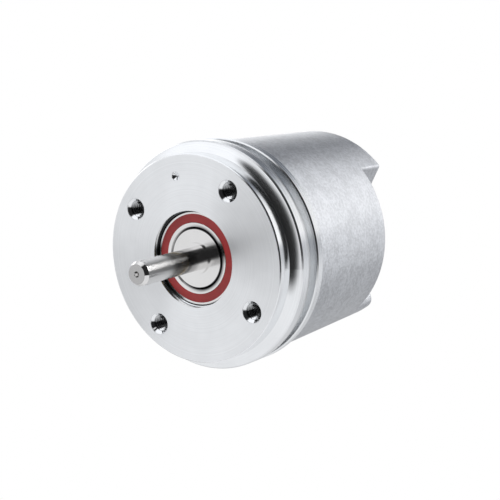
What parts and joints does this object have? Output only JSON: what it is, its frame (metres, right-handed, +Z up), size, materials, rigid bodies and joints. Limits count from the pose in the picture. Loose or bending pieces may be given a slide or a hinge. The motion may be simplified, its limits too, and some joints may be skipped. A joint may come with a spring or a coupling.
{
  "type": "absolute rotary encoder",
  "caption": "Round absolute rotary encoder with a solid shaft, synchro flange, cast housing with scooped rear pockets and a rear plug connector.",
  "frame": {"origin": "centre of the flange's front face, on the shaft axis", "axes": "-Y along the shaft, out of the flange; +Y towards the connector; +Z up"},
  "size_m": [0.058, 0.0927, 0.058],
  "materials": {
    "machined_aluminium": "satin turned",
    "cast_aluminium": "bead-blasted die casting",
    "shaft_steel": "ground stainless steel",
    "bearing_steel": "ground bearing steel",
    "red_seal": "smooth red rubber",
    "black_rubber": "matt rubber",
    "spring_steel": "phosphated",
    "hub_aluminium": "turned",
    "code_glass": "clear with code tracks",
    "lens_glass": "clear",
    "holder_plastic": "moulded",
    "board_laminate": "green solder resist",
    "chip_plastic": "moulded",
    "gear_brass": "machined",
    "magnet_grey": "sintered, coated",
    "screw_steel": "bright",
    "nickel_brass": "nickel-plated brass",
    "insert_plastic": "moulded",
    "contact_gold": "gold-plated",
    "ribbon_plastic": "amber film"
  },
  "bodies": {
    "base": {"flange": "machined_aluminium", "housing": "cast_aluminium", "front_bearing_outer_ring": "bearing_steel", "front_bearing_seals": "red_seal", "rear_bearing_outer_ring": "bearing_steel", "rear_bearing_seals": "red_seal", "preload_spring": "spring_steel", "bearing_retaining_ring": "spring_steel", "light_source_holder": "holder_plastic", "light_source": "lens_glass", "collimator_lens": "lens_glass", "sensor_reticle": "lens_glass", "sensor_chip": "chip_plastic", "sensor_board": "board_laminate", "board_standoffs": "gear_brass", "gear_front_plate": "hub_aluminium", "gear_pillars": "gear_brass", "gear_rear_plate": "hub_aluminium", "board_spacers": "gear_brass", "stack_screws": "screw_steel", "magnet_sensors": "chip_plastic", "main_board": "board_laminate", "main_board_chips": "chip_plastic", "board_socket": "holder_plastic", "ribbon_cable": "ribbon_plastic", "housing_seal": "black_rubber", "housing_pillars": "screw_steel", "housing_screws": "screw_steel", "screw_washers": "black_rubber", "connector_body": "nickel_brass", "connector_seal": "black_rubber", "connector_nut": "nickel_brass", "connector_insert": "insert_plastic", "connector_pins": "contact_gold"},
    "rotor": {"rotor_shaft": "shaft_steel", "front_bearing_inner_ring": "bearing_steel", "rear_bearing_inner_ring": "bearing_steel", "shaft_retaining_ring": "spring_steel", "disc_hub": "hub_aluminium", "disc_hub_screws": "screw_steel", "code_disc": "code_glass", "shaft_pinion": "gear_brass"},
    "front_ball_set": {"front_bearing_balls": "bearing_steel", "front_bearing_cage": "gear_brass"},
    "rear_ball_set": {"rear_bearing_balls": "bearing_steel", "rear_bearing_cage": "gear_brass"},
    "first_code_wheel": {"first_gear": "gear_brass", "first_gear_magnet": "magnet_grey"},
    "second_code_wheel": {"second_gear": "gear_brass", "second_gear_magnet": "magnet_grey"},
    "third_code_wheel": {"third_gear": "gear_brass", "third_gear_magnet": "magnet_grey"}
  },
  "joints": [
    {"name": "shaft_spin", "type": "hinge", "parent": "base", "child": "rotor", "pos_m": [0, 0, 0], "axis": [0, 1, 0], "continuous": true},
    {"name": "front_ball_set_spin", "type": "hinge", "parent": "base", "child": "front_ball_set", "pos_m": [0, 0.00415, 0], "axis": [0, 1, 0], "continuous": true},
    {"name": "rear_ball_set_spin", "type": "hinge", "parent": "base", "child": "rear_ball_set", "pos_m": [0, 0.0195, 0], "axis": [0, 1, 0], "continuous": true},
    {"name": "first_code_wheel_spin", "type": "hinge", "parent": "base", "child": "first_code_wheel", "pos_m": [0, 0.037, 0.0105], "axis": [0, 1, 0], "continuous": true},
    {"name": "second_code_wheel_spin", "type": "hinge", "parent": "base", "child": "second_code_wheel", "pos_m": [0.00909, 0.037, 0.00525], "axis": [0, 1, 0], "continuous": true},
    {"name": "third_code_wheel_spin", "type": "hinge", "parent": "base", "child": "third_code_wheel", "pos_m": [0.00909, 0.037, -0.00525], "axis": [0, 1, 0], "continuous": true}
  ],
  "couplings": [
    {"joint": "front_ball_set_spin", "follows": "shaft_spin", "ratio": 0.43897},
    {"joint": "rear_ball_set_spin", "follows": "shaft_spin", "ratio": 0.42788},
    {"joint": "first_code_wheel_spin", "follows": "shaft_spin", "ratio": -0.25},
    {"joint": "second_code_wheel_spin", "follows": "shaft_spin", "ratio": 0.0625},
    {"joint": "third_code_wheel_spin", "follows": "shaft_spin", "ratio": -0.015625}
  ]
}
